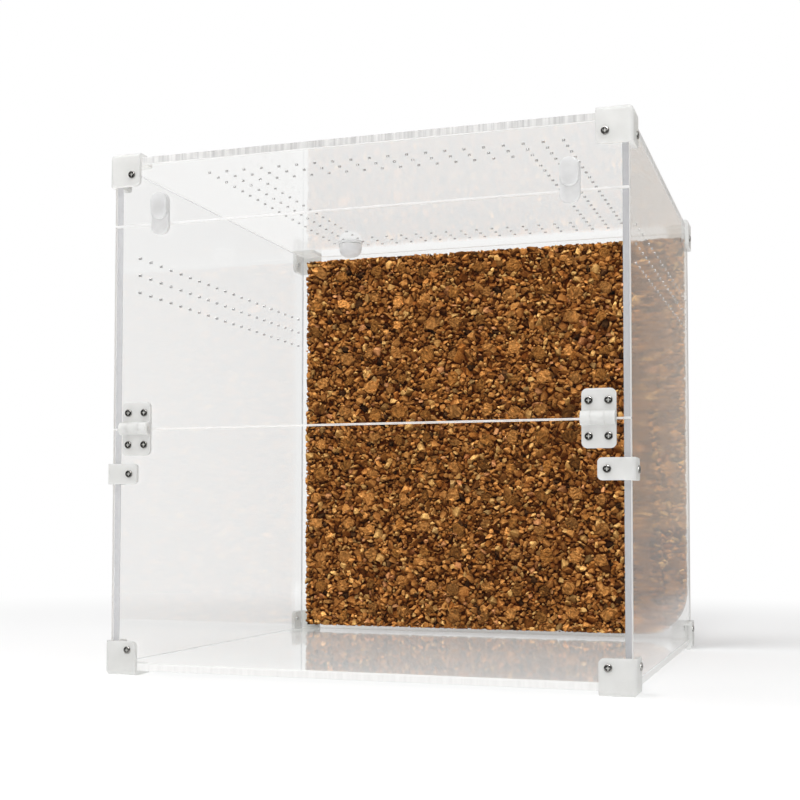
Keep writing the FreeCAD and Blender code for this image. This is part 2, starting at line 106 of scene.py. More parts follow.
# Clear sheets: the axis across each, the share of light that it mirrors, how clear its edges are, its haze,
# how many saw marks there are to the metre, and the dark and light tones of the cut edges
Sheet = namedtuple("Sheet", "axis mirror clarity haze marks dark light")
ROOF_SHEET = Sheet("Z", 0.35, 0.3, 0.03, 500.0, (0.68, 0.68, 0.68), (0.99, 0.99, 0.98))
FLOOR_SHEET = Sheet("Z", 0.50, 0.1, 0.04, 300.0, (0.92, 0.92, 0.91), (0.99, 0.99, 0.98))
# The side sheets' cut edges are frosted, which is real, and painted grey as painted shade, darker on the
# right sheet than on the left
LEFT_SHEET = Sheet("X", 0.55, 0.38, 0.04, 40.0, (0.64, 0.64, 0.66), (0.74, 0.74, 0.76))
RIGHT_SHEET = Sheet("X", 0.72, 0.50, 0.05, 40.0, (0.48, 0.48, 0.50), (0.58, 0.58, 0.60))
UPRIGHT_SHEET = Sheet("Y", 0.72, 0.2, 0.004, 300.0, (0.96, 0.94, 0.91), (0.99, 0.97, 0.94))

# Clear plastic: its refraction, its tints to the eye and in a shadow, where it starts to mirror all light,
# and the waves to the metre and the span of its haze
SHEET_IOR = 1.49
SHEET_TINT = (0.995, 0.995, 0.993)
SHADOW_TINT = (0.988, 0.991, 0.991)
MIRRORS_ALL = (0.96, 1.0)
HAZE_WAVES = 18.0
HAZE_SPAN = (0.3, 0.6)

# Cut edges: the painted shade inside the vents' bores, saw marks drawn out along Z and their span, and the
# roughness of clear and of frosted ones, with the share of light that glows through the frosted ones
VENT_SHADE = (0.42, 0.42, 0.41)
MARKS_DRAWN_OUT = (1.0, 1.0, 0.03)
MARKS_SPAN = (0.35, 0.6)
EDGE_SMOOTHEST = 0.04
EDGE_ROUGHEST = 0.24
EDGE_POLISH = 0.2
FROST_ROUGHNESS = (0.3, 0.5)
FROST_GLOW = (0.25, 0.55)

# How far a face has to look along an axis, as a share of one: where the edges start, from where one that
# looks up or down is painted white as painted light, and where a face is slanted and crosses the sheet, as
# only the bores' walls do
EDGE_FROM = (0.75, 0.9)
PAINTED_LIT_LEVEL = (0.96, 0.99)
SLANTED_TO = (0.96, 0.995)
CROSSING_TO = (0.1, 0.3)

# How far from the middle of a seam the front's sheets are scraped and catch the light
SCRAPED = 0.55 * MM
SCRAPED_FADE = 0.1 * MM

# Half the gap below the door, and half the one above it
HALF_SEAM = 0.2 * MM
HALF_STRIP = 0.4 * MM

# Plastics: light and dark tones, and roughness
WHITE_PLASTIC = ((0.81, 0.81, 0.80), (0.75, 0.75, 0.74), 0.24)
MILKY_PLASTIC = ((0.80, 0.80, 0.80), (0.68, 0.68, 0.68), 0.20)
SOFT_PLUG = ((0.80, 0.80, 0.80), (0.74, 0.74, 0.75), 0.45)

# How far light spreads in them, the share that passes on, how pale a shadow each face casts, and their grain
PLASTIC_IOR = 1.5
PLASTIC_DEPTH = 2.5 * MM
PLASTIC_GLOW = 0.5
PLASTIC_SHADOW = (0.75, 0.75, 0.75)
PLASTIC_CLOUDS = 160.0
PLASTIC_GRAIN = 2600.0
PLASTIC_RELIEF = 0.02 * MM
PLASTIC_VARIES = 0.06

# Film of air between pieces that touch
AIR_FILM = 0.03 * MM

# Steels: light and dark tones, and roughness where they are smoothest; and the marks on all of them
SCREW_STEEL = ((0.46, 0.45, 0.43), (0.32, 0.31, 0.30), 0.08)
PIN_STEEL = ((0.90, 0.90, 0.89), (0.80, 0.80, 0.79), 0.6)
STEEL_WEAR = 700.0
STEEL_MARKS = 3800.0
STEEL_RELIEF = 0.01 * MM
STEEL_VARIES = 0.2

# Span of the noise that clouds plastic and wears steel
CLOUD_SPAN = (0.35, 0.65)

# Screws' recesses: their depth, how far under the heads' tops the tone of their floors is full and how far it
# is gone, and that tone; then how far the heads' flat tops lie from the middle of the case
RECESS_DEPTH = 0.7 * MM
RECESS_FULL = 0.8 * RECESS_DEPTH
RECESS_GONE = 0.4 * RECESS_DEPTH
RECESS_TONE = (0.60, 0.60, 0.57)
RECESS_FACING = (0.9, 0.98)
PLATE_HEADS = 153.5 * MM
HINGE_HEADS = 153.0 * MM

# Cork: the shine, the veins and pores to the metre, and the tones that its own are multiplied by
CORK_SHINE = 0.05
CORK_VEINS = 650.0
VEIN_SPAN = (0.34, 0.66)
VEIN_DARK = (0.62, 0.52, 0.38)
VEIN_LIGHT = (1.34, 1.40, 1.42)
# Painted light and shade: the span of facing over which the cork turns from darker below to lighter above,
# and those two tones
FACING_LIGHT_SPAN = (-0.8, 0.8)
PAINTED_SHADE_BELOW = (0.44, 0.35, 0.24)
PAINTED_LIGHT_ABOVE = (1.66, 1.76, 1.95)
CORK_PORES = 1700.0
CORK_ROUGHNESS = (0.6, 0.9)
CORK_RELIEF = 0.5 * MM

# Cork slab: how far the chips keep inside its box, its rounded corner and the steps of that, how thick its
# solid is behind the main granules, and how deep its body, dark with painted shade, lies
CORK_INSET = 0.2 * MM
CORK_CORNER = 30 * MM
CORNER_STEPS = 12
CORK_BEHIND = 7.8 * MM
CORK_BED = 3.6 * MM
CORK_SEED = 11

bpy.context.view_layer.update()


# ---------------------------------------------------------------- nodes

def new_material(name):
    """A node material with its tree and its Principled shader."""
    material = bpy.data.materials.new(name)
    material.use_nodes = True
    return material, material.node_tree, material.node_tree.nodes["Principled BSDF"]


def fill(tree, socket, value):
    """Gives an input another node's output, a colour or a plain number."""
    if isinstance(value, bpy.types.NodeSocket):
        tree.links.new(value, socket)
    elif isinstance(value, tuple):
        socket.default_value = (*value, 1.0)
    else:
        socket.default_value = value


def show(tree, shader):
    """Makes a shader the surface of its material."""
    tree.links.new(shader, tree.nodes["Material Output"].inputs["Surface"])


def place_on_piece(tree):
    """Coordinates that stay with the piece when it moves."""
    return tree.nodes.new("ShaderNodeTexCoord").outputs["Object"]


def facing(tree):
    """The direction that a face looks in, which turns with the piece."""
    return tree.nodes.new("ShaderNodeTexCoord").outputs["Normal"]


def light_path(tree):
    """What kind of ray looks at the surface."""
    return tree.nodes.new("ShaderNodeLightPath").outputs


def split(tree, vector):
    """A vector's X, Y and Z."""
    node = tree.nodes.new("ShaderNodeSeparateXYZ")
    tree.links.new(vector, node.inputs[0])
    return node.outputs


def noise(tree, scale, detail=3.0, roughness=0.5, squeeze=WHITE):
    """Noise over the piece, from 0 to 1, with this many waves to the metre, times squeeze along each axis."""
    node = tree.nodes.new("ShaderNodeTexNoise")
    node.inputs["Scale"].default_value = scale
    node.inputs["Detail"].default_value = detail
    node.inputs["Roughness"].default_value = roughness
    place = tree.nodes.new("ShaderNodeVectorMath")
    place.operation = "MULTIPLY"
    place.inputs[1].default_value = squeeze
    tree.links.new(place_on_piece(tree), place.inputs[0])
    tree.links.new(place.outputs["Vector"], node.inputs["Vector"])
    return node.outputs["Fac"]


def ranged(tree, value, low, high, from_low=0.0, from_high=1.0, kind="LINEAR"):
    """A value mapped from one span to another."""
    node = tree.nodes.new("ShaderNodeMapRange")
    node.interpolation_type = kind
    node.inputs["From Min"].default_value = from_low
    node.inputs["From Max"].default_value = from_high
    node.inputs["To Min"].default_value = low
    node.inputs["To Max"].default_value = high
    tree.links.new(value, node.inputs["Value"])
    return node.outputs["Result"]


def calculated(tree, operation, *values):
    """One sum on one or two values, each of which may be a plain number."""
    node = tree.nodes.new("ShaderNodeMath")
    node.operation = operation
    for socket, value in zip(node.inputs, values):
        fill(tree, socket, value)
    return node.outputs[0]


def larger(tree, first, second):
    """The larger of two values."""
    return calculated(tree, "MAXIMUM", first, second)


def product(tree, first, *others):
    """The product of some values."""
    for other in others:
        first = calculated(tree, "MULTIPLY", first, other)
    return first


def unsigned(tree, value):
    """A value without its sign."""
    return calculated(tree, "ABSOLUTE", value)


def farthest_out(tree, vector):
    """The larger of a vector's X and Y, without their signs."""
    parts = split(tree, vector)
    return larger(tree, unsigned(tree, parts["X"]), unsigned(tree, parts["Y"]))


def mixed(tree, kind, factor, first, second, blend="MIX"):
    """Two numbers (FLOAT) or two colours (RGBA) mixed by a factor."""
    node = tree.nodes.new("ShaderNodeMix")
    node.data_type = kind
    node.blend_type = blend
    fill(tree, node.inputs["Factor"], factor)
    fill(tree, node.inputs["A"], first)
    fill(tree, node.inputs["B"], second)
    return node.outputs["Result"]


def value_between(tree, factor, first, second):
    """A number that runs from first to second with the factor."""
    return mixed(tree, "FLOAT", factor, first, second)


def colour_between(tree, factor, first, second):
    """A colour that runs from first to second with the factor."""
    return mixed(tree, "RGBA", factor, first, second)


def colours_multiplied(tree, first, second):
    """One colour times another."""
    return mixed(tree, "RGBA", 1.0, first, second, "MULTIPLY")


def add_bump(tree, shader, height, depth):
    """Relief on a shader, of this depth in metres."""
    node = tree.nodes.new("ShaderNodeBump")
    node.inputs["Distance"].default_value = depth
    tree.links.new(height, node.inputs["Height"])
    tree.links.new(node.outputs["Normal"], shader.inputs["Normal"])


def coloured(tree, kind, colour):
    """A shader node of this kind and colour."""
    node = tree.nodes.new("ShaderNode" + kind)
    fill(tree, node.inputs["Color"], colour)
    return node


def mix_shaders(tree, factor, first, second):
    """first where the factor is 0, second where it is 1."""
    node = tree.nodes.new("ShaderNodeMixShader")
    fill(tree, node.inputs[0], factor)
    tree.links.new(first, node.inputs[1])
    tree.links.new(second, node.inputs[2])
    return node.outputs[0]


# ---------------------------------------------------------------- materials

def scraped_edges(tree, seams):
    """1 on the faces of a sheet close to seams at these heights, 0 away from them."""
    height = split(tree, place_on_piece(tree))["Z"]
    bands = []
    for seam in seams:
        away = unsigned(tree, calculated(tree, "SUBTRACT", height, seam))
        bands.append(ranged(tree, away, 1.0, 0.0, SCRAPED - SCRAPED_FADE, SCRAPED))
    return larger(tree, *bands)


def polished(tree, rough, mirror):
    """Clear plastic that mirrors this share of what comes in, and all of it where it can't pass."""
    through = coloured(tree, "BsdfRefraction", SHEET_TINT)
    through.inputs["IOR"].default_value = SHEET_IOR
    gloss = coloured(tree, "BsdfGlossy", WHITE)
    tree.links.new(rough, through.inputs["Roughness"])
    tree.links.new(rough, gloss.inputs["Roughness"])
    fresnel = tree.nodes.new("ShaderNodeFresnel")
    fresnel.inputs["IOR"].default_value = SHEET_IOR
    total = ranged(tree, fresnel.outputs[0], 0.0, 1.0, *MIRRORS_ALL)
    share = larger(tree, product(tree, fresnel.outputs[0], mirror), total)
    return mix_shaders(tree, share, through.outputs[0], gloss.outputs[0])


def edge_tone(tree, across, marks, sheet):
    """The colour of cut edges: streaked, painted white as painted light on those that look up or down, and
    painted grey as painted shade in the bores.
    """
    upward = unsigned(tree, split(tree, facing(tree))["Z"])
    tone = colour_between(tree, ranged(tree, marks, 0.0, 1.0, *MARKS_SPAN), sheet.dark, sheet.light)
    # Painted light: cut edges that look up or down are painted white
    tone = colour_between(tree, ranged(tree, upward, 0.0, 1.0, *PAINTED_LIT_LEVEL), tone, WHITE)
    slanted = ranged(tree, larger(tree, farthest_out(tree, facing(tree)), upward), 1.0, 0.0, *SLANTED_TO)
    bore = product(tree, slanted, ranged(tree, across, 1.0, 0.0, *CROSSING_TO))
    # Painted shade: the walls of the vents' bores are painted grey
    return colour_between(tree, bore, tone, VENT_SHADE)


def frosted(tree, sawn, marks, tone):
    """Cut edges in this tone, made of the material's Principled shader and a glow through it."""
    tree.links.new(tone, sawn.inputs["Base Color"])
    tree.links.new(ranged(tree, marks, *FROST_ROUGHNESS), sawn.inputs["Roughness"])
    glow = coloured(tree, "BsdfTranslucent", tone)
    return mix_shaders(tree, ranged(tree, marks, *FROST_GLOW), sawn.outputs[0], glow.outputs[0])


def acrylic(name, sheet, seams=()):
    """Clear sheet with polished faces and cut edges, scraped along the two seams where there are any."""
    material, tree, sawn = new_material(name)
    across = unsigned(tree, split(tree, facing(tree))[sheet.axis])
    on_edge = ranged(tree, across, 1.0, 0.0, *EDGE_FROM)
    if seams:
        on_edge = larger(tree, on_edge, scraped_edges(tree, seams))
    haze = ranged(tree, noise(tree, HAZE_WAVES, detail=4.0), 0.0, sheet.haze, *HAZE_SPAN)
    marks = noise(tree, sheet.marks, roughness=0.6, squeeze=MARKS_DRAWN_OUT)
    roughest = EDGE_ROUGHEST - EDGE_POLISH * sheet.clarity
    rough = value_between(tree, on_edge, haze, ranged(tree, marks, EDGE_SMOOTHEST, roughest))
    face = polished(tree, rough, sheet.mirror)
    edge = frosted(tree, sawn, marks, edge_tone(tree, across, marks, sheet))
    whole = mix_shaders(tree, product(tree, on_edge, 1.0 - sheet.clarity), face, edge)
    clear = coloured(tree, "BsdfTransparent", SHADOW_TINT).outputs[0]
    path = light_path(tree)
    whole = mix_shaders(tree, path["Is Diffuse Ray"], whole, clear)
    show(tree, mix_shaders(tree, path["Is Shadow Ray"], whole, clear))
    return material


def moulded_plastic(name, light, dark, roughness):
    """Satin moulded plastic with a faint cloudiness and a fine grain, which lets some light in."""
    material, tree, shader = new_material(name)
    clouds = ranged(tree, noise(tree, PLASTIC_CLOUDS), 0.0, 1.0, *CLOUD_SPAN)
    tree.links.new(colour_between(tree, clouds, light, dark), shader.inputs["Base Color"])
    grain = noise(tree, PLASTIC_GRAIN, detail=2.0)
    rough = ranged(tree, grain, roughness - PLASTIC_VARIES, roughness + PLASTIC_VARIES)
    tree.links.new(rough, shader.inputs["Roughness"])
    add_bump(tree, shader, grain, PLASTIC_RELIEF)
    shader.inputs["IOR"].default_value = PLASTIC_IOR
    shader.inputs["Subsurface Weight"].default_value = 1.0
    shader.inputs["Subsurface Radius"].default_value = WHITE
    shader.inputs["Subsurface Scale"].default_value = PLASTIC_DEPTH
    glow = coloured(tree, "BsdfTranslucent", light)
    milky = mix_shaders(tree, PLASTIC_GLOW, shader.outputs[0], glow.outputs[0])
    pale = coloured(tree, "BsdfTransparent", PLASTIC_SHADOW)
    show(tree, mix_shaders(tree, light_path(tree)["Is Shadow Ray"], milky, pale.outputs[0]))
    return material


def steel(name, light, dark, smooth, heads=None):
    """Steel with turning marks. heads is where the tops of side-facing screw heads lie."""
    material, tree, shader = new_material(name)
    shader.inputs["Metallic"].default_value = 1.0
    wear = ranged(tree, noise(tree, STEEL_WEAR), 0.0, 1.0, *CLOUD_SPAN)
    tree.links.new(colour_between(tree, wear, light, dark), shader.inputs["Base Color"])
    marks = noise(tree, STEEL_MARKS)
    tree.links.new(ranged(tree, marks, smooth, smooth + STEEL_VARIES), shader.inputs["Roughness"])
    add_bump(tree, shader, marks, STEEL_RELIEF)
    if heads:
        out = farthest_out(tree, place_on_piece(tree))
        recess = ranged(tree, out, 1.0, 0.0, heads - RECESS_FULL, heads - RECESS_GONE)
        outward = ranged(tree, farthest_out(tree, facing(tree)), 0.0, 1.0, *RECESS_FACING)
        floor = coloured(tree, "BsdfDiffuse", RECESS_TONE)
        show(tree, mix_shaders(tree, product(tree, recess, outward), shader.outputs[0], floor.outputs[0]))
    return material


def cork():
    """Cork chips: the mesh's own tone attribute, with veins, pores, a rough skin, and painted light that
    makes upper sides lighter and lower ones darker.
    """
    material, tree, shader = new_material("cork")
    shader.inputs["Specular IOR Level"].default_value = CORK_SHINE
    attribute = tree.nodes.new("ShaderNodeAttribute")
    attribute.attribute_name = "tone"
    veins = ranged(tree, noise(tree, CORK_VEINS, detail=5.0, roughness=0.75), 0.0, 1.0, *VEIN_SPAN)
    # Painted light: facets that look up are lightened, those that look down darkened
    upward = ranged(tree, split(tree, facing(tree))["Z"], 0.0, 1.0, *FACING_LIGHT_SPAN)
    tone = attribute.outputs["Color"]
    tone = colours_multiplied(tree, tone, colour_between(tree, veins, VEIN_DARK, VEIN_LIGHT))
    tone = colours_multiplied(tree, tone, colour_between(tree, upward, PAINTED_SHADE_BELOW, PAINTED_LIGHT_ABOVE))
    tree.links.new(tone, shader.inputs["Base Color"])
    pores = noise(tree, CORK_PORES, roughness=0.6)
    tree.links.new(ranged(tree, pores, *CORK_ROUGHNESS), shader.inputs["Roughness"])
    add_bump(tree, shader, pores, CORK_RELIEF)
    return material


# ---------------------------------------------------------------- cork granulate

CHIP_TONES = (
    # red, green, blue as linear light, and how common the tone is
    ((0.520, 0.235, 0.064), 28),
    ((0.410, 0.175, 0.045), 26),
    ((0.280, 0.106, 0.022), 16),
    ((0.680, 0.390, 0.130), 14),
    ((0.580, 0.270, 0.110), 4),
    ((0.400, 0.240, 0.090), 1),
    ((0.160, 0.058, 0.013), 8),
    ((0.060, 0.026, 0.009), 3),
)
GRANULE_TONES = (
    ((0.320, 0.138, 0.036), 5),
    ((0.240, 0.098, 0.022), 4),
    ((0.140, 0.055, 0.012), 2),
)
# Painted shade: the slab's body is near black so that the gaps between chips read as shade
BED_SHADE = (0.090, 0.020, 0.002)

# How far chips differ from their tone, and the points of one granule from its own
CHIPS_VARY = 0.2
GRANULES_VARY = 0.3

# Shade of a chip's deep end, as a share of its tone, and the depth over which it fades in
DEEP_SHADE = np.array((0.40, 0.28, 0.20))
DEEP_FROM = -1.2 * MM
DEEP_TO = 1.6 * MM

# Chip sizes in metres, from the largest kind down: across, how many are tried, how far their tops rise
CHIP_KINDS = (
    (8.0 * MM, 13.0 * MM, 700, 1.8 * MM),
    (5.8 * MM, 8.5 * MM, 9000, 1.8 * MM),
    (4.0 * MM, 5.8 * MM, 22000, 1.6 * MM),
    (2.6 * MM, 4.0 * MM, 36000, 1.2 * MM),
)
CHIP_SPACING = 0.24
COARSE_CHIP = 3.2 * MM

# Chip shapes: how many there are, with how many corners, how far out, and how narrow and flat they become
CHIP_SHAPES = 40
CHIP_CORNERS = 14
CORNER_REACH = (0.8, 1.05)
CHIP_NARROW = (0.6, 1.0)
CHIP_FLAT = (0.5, 0.9)

# How deep the chips' middles lie: under the front, also as a share of their size, and under the back
FRONT_SINK = 0.6 * MM
FRONT_SHARE = 0.30
BACK_SHARE = (0.24, 0.34)

# Chips of the rim: the way along the outline for each, their sizes, and as shares of their size how far
# they keep from the slab's faces and lie in from the outline
RIM_STEP = 0.8 * MM
RIM_SIZE = (2.4 * MM, 6.5 * MM)
RIM_MARGIN = 0.3
RIM_SHARE = (0.3, 0.6)

# How the main granules are cut out of the slab's solid and roughened: how far off its flat face they start,
# how close points are merged, the cuts in each edge, and the least and most that a point moves on each axis
STANDS_OUT = 0.02 * MM
SAME_POINT = 0.001 * MM
EDGE_CUTS = 3
MOVED_DOWN = (-0.7 * MM, 0.0, -0.7 * MM)
MOVED_UP = (0.7 * MM, 0.8 * MM, 0.7 * MM)


def chip_shapes(rng):
    """Angular unit chips, each as its points and its triangles."""
    shapes = []
    for _ in range(CHIP_SHAPES):
        mesh = bmesh.new()
        for corner in rng.normal(size=(CHIP_CORNERS, 3)):
            mesh.verts.new(corner / np.linalg.norm(corner) * rng.uniform(*CORNER_REACH))
        hull = bmesh.ops.convex_hull(mesh, input=mesh.verts)
        inside = [vert for vert in hull["geom_interior"] if isinstance(vert, bmesh.types.BMVert)]
        bmesh.ops.delete(mesh, geom=inside, context="VERTS")
        bmesh.ops.triangulate(mesh, faces=mesh.faces)
        mesh.verts.index_update()
        points = np.array([vert.co[:] for vert in mesh.verts])
        shapes.append((points, np.array([[vert.index for vert in face.verts] for face in mesh.faces])))
        mesh.free()
    return shapes


def is_clear(grid, column, line, u, v, size):
    """Whether a chip keeps clear of those in its own cell of the grid and in the eight round it."""
    return all(
        math.hypot(u - u2, v - v2) >= CHIP_SPACING * (size + size2)
        for i in (column - 1, column, column + 1)
        for j in (line - 1, line, line + 1)
        for u2, v2, size2 in grid.get((i, j), ())
    )


def scattered(rng, kinds, width, height):
    """Places and sizes of chips on a sheet, the large ones first, each clear of its neighbours."""
    cell = kinds[0][1]
    grid = {}
    chosen = []
    for small, large, tries, stand in kinds:
        for _ in range(tries):
            u, v, size = rng.uniform(0, width), rng.uniform(0, height), rng.uniform(small, large)
            column, line = int(u / cell), int(v / cell)
            if is_clear(grid, column, line, u, v, size):
                grid.setdefault((column, line), []).append((u, v, size))
                chosen.append((u, v, size, rng.uniform(0, stand)))
    return np.array(chosen)


def turns(rng, count):
    """Random rotations, as matrices."""
    q = rng.normal(size=(count, 4))
    w, x, y, z = (q / np.linalg.norm(q, axis=1, keepdims=True)).T
    rows = [
        [1 - 2 * (y * y + z * z), 2 * (x * y - z * w), 2 * (x * z + y * w)],
        [2 * (x * y + z * w), 1 - 2 * (x * x + z * z), 2 * (y * z - x * w)],
        [2 * (x * z - y * w), 2 * (y * z + x * w), 1 - 2 * (x * x + y * y)],
    ]
    return np.transpose(np.array(rows), (2, 0, 1))


def chip_tones(rng, count, kinds=CHIP_TONES):
    """A tone for each of so many chips."""
    weights = np.array([share for _, share in kinds], float)
    picked = rng.choice(len(kinds), size=count, p=weights / weights.sum())
    return np.array([tone for tone, _ in kinds])[picked] * rng.lognormal(0.0, CHIPS_VARY, (count, 1))


def chip_mesh(rng, shapes, centres, sizes):
    """The points, faces and tones of one chip at each centre."""
    all_points, all_faces, all_tones = [], [], []
    picked = rng.integers(len(shapes), size=len(centres))
    start = 0
    for k, (unit, triangles) in enumerate(shapes):
        here = np.flatnonzero(picked == k)
        count = len(here)
        if not count:
            continue
        narrow = rng.uniform(*CHIP_NARROW, count)
        flat = rng.uniform(*CHIP_FLAT, count)
        stretch = np.stack([np.ones(count), narrow, flat], axis=1)
        points = unit * stretch[:, None, :] * (sizes[here] / 2)[:, None, None]
        points = np.einsum("nij,nvj->nvi", turns(rng, count), points) + centres[here][:, None, :]
        faces = triangles[None, :, :] + start + (np.arange(count) * len(unit))[:, None, None]
        all_points.append(points.reshape(-1, 3))
        all_faces.append(faces.reshape(-1, 3))
        all_tones.append(np.repeat(chip_tones(rng, count), len(unit), axis=0))
        start += count * len(unit)
    return np.concatenate(all_points), np.concatenate(all_faces), np.concatenate(all_tones)


def kept_in_slab(points, low, high):
    """Points moved inside the slab's box, with its rounded lower right corner."""
    points = np.clip(points, low, high)
    centre = np.array([high[0] - CORK_CORNER, low[2] + CORK_CORNER])
    away = points[:, [0, 2]] - centre
    length = np.linalg.norm(away, axis=1)
    outside = (away[:, 0] > 0) & (away[:, 1] < 0) & (length > CORK_CORNER)
    points[np.ix_(outside, [0, 2])] = centre + away[outside] * (CORK_CORNER / length[outside])[:, None]
    return points


def mesh_object(name, points, faces, tones):
    """An object of flat faces from arrays, with its tones as a colour attribute."""
    mesh = bpy.data.meshes.new(name)
    mesh.from_pydata(points.tolist(), [], faces.tolist() if hasattr(faces, "tolist") else faces)
    colours = mesh.color_attributes.new("tone", "FLOAT_COLOR", "POINT")
    colours.data.foreach_set("color", np.c_[tones, np.ones(len(tones))].astype(np.float32).ravel())
    piece = bpy.data.objects.new(name, mesh)
    bpy.context.collection.objects.link(piece)
    return piece


def cork_outline(low, high):
    """The slab's outline as X and Z, with the rounded corner."""
    outline = [(low[0], low[2])]
    for i in range(CORNER_STEPS + 1):
        angle = -math.pi / 2 + i * math.pi / 2 / CORNER_STEPS
        x = high[0] - CORK_CORNER + CORK_CORNER * math.cos(angle)
        outline.append((x, low[2] + CORK_CORNER + CORK_CORNER * math.sin(angle)))
    return outline + [(high[0], high[2]), (low[0], high[2])]


def cork_bed(low, high, face):
    """The body of the slab behind the chips of its faces, dark as painted shade in the gaps between them."""
    inset = CORK_BED / 2
    front = face + CORK_BED
    back = high[1] - inset
    outline = [(x + (inset if x < 0 else -inset), z + (inset if z < MID_HEIGHT else -inset))
               for x, z in cork_outline(low, high)]
    count = len(outline)
    points = np.array([(x, front, z) for x, z in outline] + [(x, back, z) for x, z in outline])
    faces = [list(range(count)), list(range(2 * count - 1, count - 1, -1))]
    faces += [[i, i + count, (i + 1) % count + count, (i + 1) % count] for i in range(count)]
    return mesh_object("cork_bed", points, faces, np.tile(BED_SHADE, (len(points), 1)))


def cork_face(rng, low, high, face):
    """Chip centres and sizes over the front of the slab."""
    chips = scattered(rng, CHIP_KINDS, high[0] - low[0], high[2] - low[2])
    y = face + FRONT_SINK - chips[:, 3] + chips[:, 2] * FRONT_SHARE
    return np.c_[low[0] + chips[:, 0], y, low[2] + chips[:, 1]], chips[:, 2]


def cork_back(rng, low, high):
    """Chip centres and sizes over the flat back of the slab, without the smallest kind."""
    chips = scattered(rng, CHIP_KINDS[:-1], high[0] - low[0], high[2] - low[2])
    y = high[1] - chips[:, 2] * rng.uniform(*BACK_SHARE, len(chips))
    return np.c_[low[0] + chips[:, 0], y, low[2] + chips[:, 1]], chips[:, 2]


def cork_rim(rng, low, high, face):
    """Chip centres and sizes round the four edges of the slab."""
    outline = np.array(cork_outline(low, high))
    middle = Vector((0.0, (low[2] + high[2]) / 2))
    centres = []
    sizes = []
    for start, end in zip(outline, np.roll(outline, -1, axis=0)):
        count = max(1, int(np.linalg.norm(end - start) / RIM_STEP))
        for _ in range(count):
            size = rng.uniform(*RIM_SIZE)
            x, z = start + (end - start) * rng.uniform()
            y = rng.uniform(face + RIM_MARGIN * size, high[1] - RIM_MARGIN * size)
            step = (middle - Vector((x, z))).normalized() * size * rng.uniform(*RIM_SHARE)
            centres.append((x + step.x, y, z + step.y))
            sizes.append(size)
    return np.array(centres), np.array(sizes)


def granule_islands(mesh):
    """The vertices of each granule of a bmesh that holds nothing else, in the same order in every run."""
    found = set()
    for first in mesh.verts:
        if first in found:
            continue
        found.add(first)
        island = [first]
        for vert in island:
            for edge in vert.link_edges:
                other = edge.other_vert(vert)
                if other not in found:
                    found.add(other)
                    island.append(other)
        yield island


def main_granules(rng, face):
    """The granules that stand out of the slab's solid, roughened."""
    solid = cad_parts["cork_background"]
    mesh = bmesh.new()
    mesh.from_mesh(solid.data)
    mesh.transform(solid.matrix_world)
    behind = [flat for flat in mesh.faces if flat.calc_center_median().y > face - STANDS_OUT]
    bmesh.ops.delete(mesh, geom=behind, context="FACES")
    bmesh.ops.remove_doubles(mesh, verts=mesh.verts, dist=SAME_POINT)
    bmesh.ops.subdivide_edges(mesh, edges=mesh.edges, cuts=EDGE_CUTS, use_grid_fill=True)
    bmesh.ops.triangulate(mesh, faces=mesh.faces)
    mesh.verts.index_update()
    tones = np.zeros((len(mesh.verts), 3))
    for island in granule_islands(mesh):
        tone = chip_tones(rng, 1, GRANULE_TONES)[0]
        for vert in island:
            tones[vert.index] = tone
    points = np.array([vert.co[:] for vert in mesh.verts])
    points += rng.uniform(MOVED_DOWN, MOVED_UP, points.shape)
    faces = np.array([[vert.index for vert in flat.verts] for flat in mesh.faces])
    mesh.free()
    return points, faces, tones * rng.lognormal(0.0, GRANULES_VARY, (len(tones), 1))


def shaded(points, tones, face):
    """Tones that darken and redden with the depth of their points under the slab's face."""
    deep = np.clip((points[:, 1] - face - DEEP_FROM) / (DEEP_TO - DEEP_FROM), 0.0, 1.0)
    return tones * (1.0 + deep[:, None] * (DEEP_SHADE - 1.0))


def cork_slab():
    """The granulate slab, in place of its plain solid."""
    low, high = (np.array(corner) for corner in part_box("cork_background"))
    face = high[1] - CORK_BEHIND
    low = low + CORK_INSET
    high = high - CORK_INSET
    rng = np.random.default_rng(CORK_SEED)
    shapes = chip_shapes(rng)
    points, faces, tones = main_granules(rng, face)
    pieces = [cork_bed(low, high, face)]
    points = kept_in_slab(points, low, high)
    pieces.append(mesh_object("cork_granules", points, faces, shaded(points, tones, face)))
    layers = (
        ("cork_chips_front", cork_face(rng, low, high, face)),
        ("cork_chips_rim", cork_rim(rng, low, high, face)),
        ("cork_chips_back", cork_back(rng, low, high)),
    )
    for name, (centres, sizes) in layers:
        coarse = sizes > COARSE_CHIP
        for suffix, chosen in (("_coarse", coarse), ("_fine", ~coarse)):
            if not chosen.any():
                continue
            points, faces, tones = chip_mesh(rng, shapes, centres[chosen], sizes[chosen])
            points = kept_in_slab(points, low, high)
            if "front" in name:
                tones = shaded(points, tones, face)
            pieces.append(mesh_object(name + suffix, points, faces, tones))
    skin = cork()
    for piece in pieces:
        piece.data.materials.append(skin)
        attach(piece, "case")
        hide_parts("cork_background")


# ---------------------------------------------------------------- CAD pieces

def dress(names, material, air=0.0):
    """Gives CAD nodes a material and, where it is asked for, a film of air between them and the panels."""
    for name in names:
        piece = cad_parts[name]
        piece.data.materials.clear()
        piece.data.materials.append(material)
        if air:
            film = piece.modifiers.new("air_film", "DISPLACE")
            film.mid_level = 0.0
            film.strength = -air


def dress_panels():
    """The clear sheets of the case and its door."""
    dress(["floor_panel"], acrylic("acrylic_floor", FLOOR_SHEET))
    dress(["top_panel"], acrylic("acrylic_roof", ROOF_SHEET))
    dress(["side_panel_left"], acrylic("acrylic_left", LEFT_SHEET))
    dress(["side_panel_right"], acrylic("acrylic_right", RIGHT_SHEET))
    dress(["back_panel"], acrylic("acrylic_back", UPRIGHT_SHEET))
    low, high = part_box("door_panel")
    front = acrylic("acrylic_front", UPRIGHT_SHEET, (low[2] - HALF_SEAM, high[2] + HALF_STRIP))
    dress(["front_lower_panel", "front_top_strip", "door_panel"], front)


